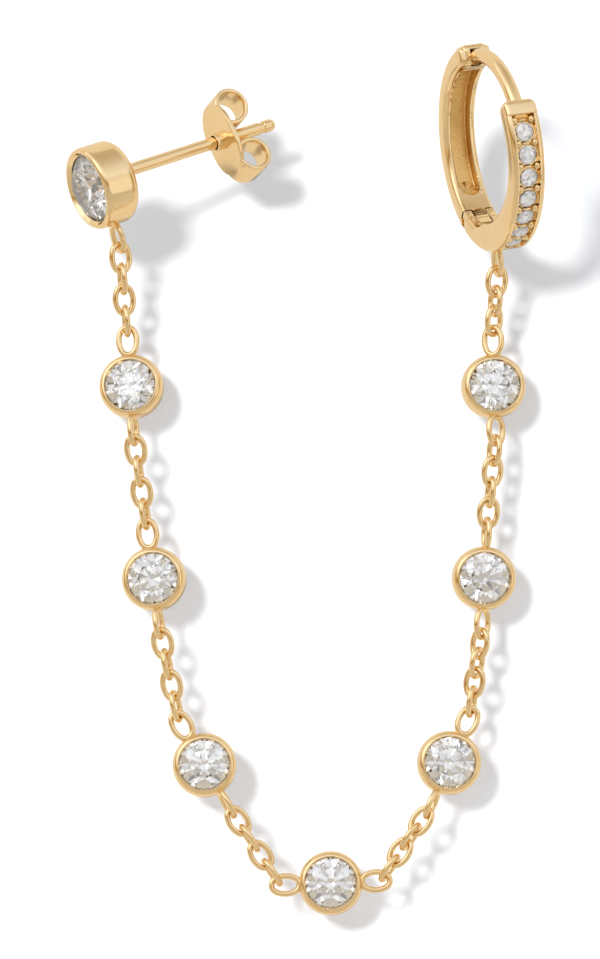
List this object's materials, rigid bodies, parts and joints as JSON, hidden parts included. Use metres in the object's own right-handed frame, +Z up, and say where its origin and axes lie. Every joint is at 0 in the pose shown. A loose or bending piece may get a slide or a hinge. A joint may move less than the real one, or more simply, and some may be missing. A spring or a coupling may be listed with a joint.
{
  "type": "ear chain earring",
  "caption": "Ear chain earring: a bezel-set stud with post and butterfly back, a cable chain with round stone stations, and a hinged hoop with a stone row.",
  "frame": {"origin": "on the axis of the stud's post, at the back of the stud's cup", "axes": "+X to the wearer's view right, from the stud towards the hoop, +Y away from the viewer, +Z up"},
  "size_m": [0.0289, 0.0143, 0.0529],
  "materials": {
    "gold": "polished yellow gold",
    "stone": "clear faceted stone"
  },
  "bodies": {
    "root": {"stud_setting": "gold", "stud_stone": "stone", "station_1": "gold", "station_2": "gold", "station_3": "gold", "station_4": "gold", "station_5": "gold", "station_6": "gold", "station_7": "gold", "stone_1": "stone", "stone_2": "stone", "stone_3": "stone", "stone_4": "stone", "stone_5": "stone", "stone_6": "stone", "stone_7": "stone", "link_0_0": "gold", "link_0_1": "gold", "link_0_2": "gold", "link_0_3": "gold", "link_1_0": "gold", "link_1_1": "gold", "link_1_2": "gold", "link_1_3": "gold", "link_2_0": "gold", "link_2_1": "gold", "link_2_2": "gold", "link_2_3": "gold", "link_3_0": "gold", "link_3_1": "gold", "link_3_2": "gold", "link_3_3": "gold", "link_4_0": "gold", "link_4_1": "gold", "link_4_2": "gold", "link_4_3": "gold", "link_5_0": "gold", "link_5_1": "gold", "link_5_2": "gold", "link_5_3": "gold", "link_6_0": "gold", "link_6_1": "gold", "link_6_2": "gold", "link_6_3": "gold", "link_7_0": "gold", "link_7_1": "gold", "link_7_2": "gold", "hoop_front": "gold", "pave_stones": "stone", "hinge_pin": "gold"},
    "butterfly": {"butterfly_back": "gold"},
    "hoop_gate": {"hoop_back": "gold"}
  },
  "joints": [
    {"name": "butterfly_slide", "type": "slide", "parent": "root", "child": "butterfly", "axis": [0.8397, 0.4597, 0.289], "range_m": [-0.006, 0.0034]},
    {"name": "hoop_hinge", "type": "hinge", "parent": "root", "child": "hoop_gate", "pos_m": [0.02199, 0.00144, -0.00304], "axis": [-0.9351, -0.3256, -0.1398], "range_deg": [0, 60]}
  ]
}
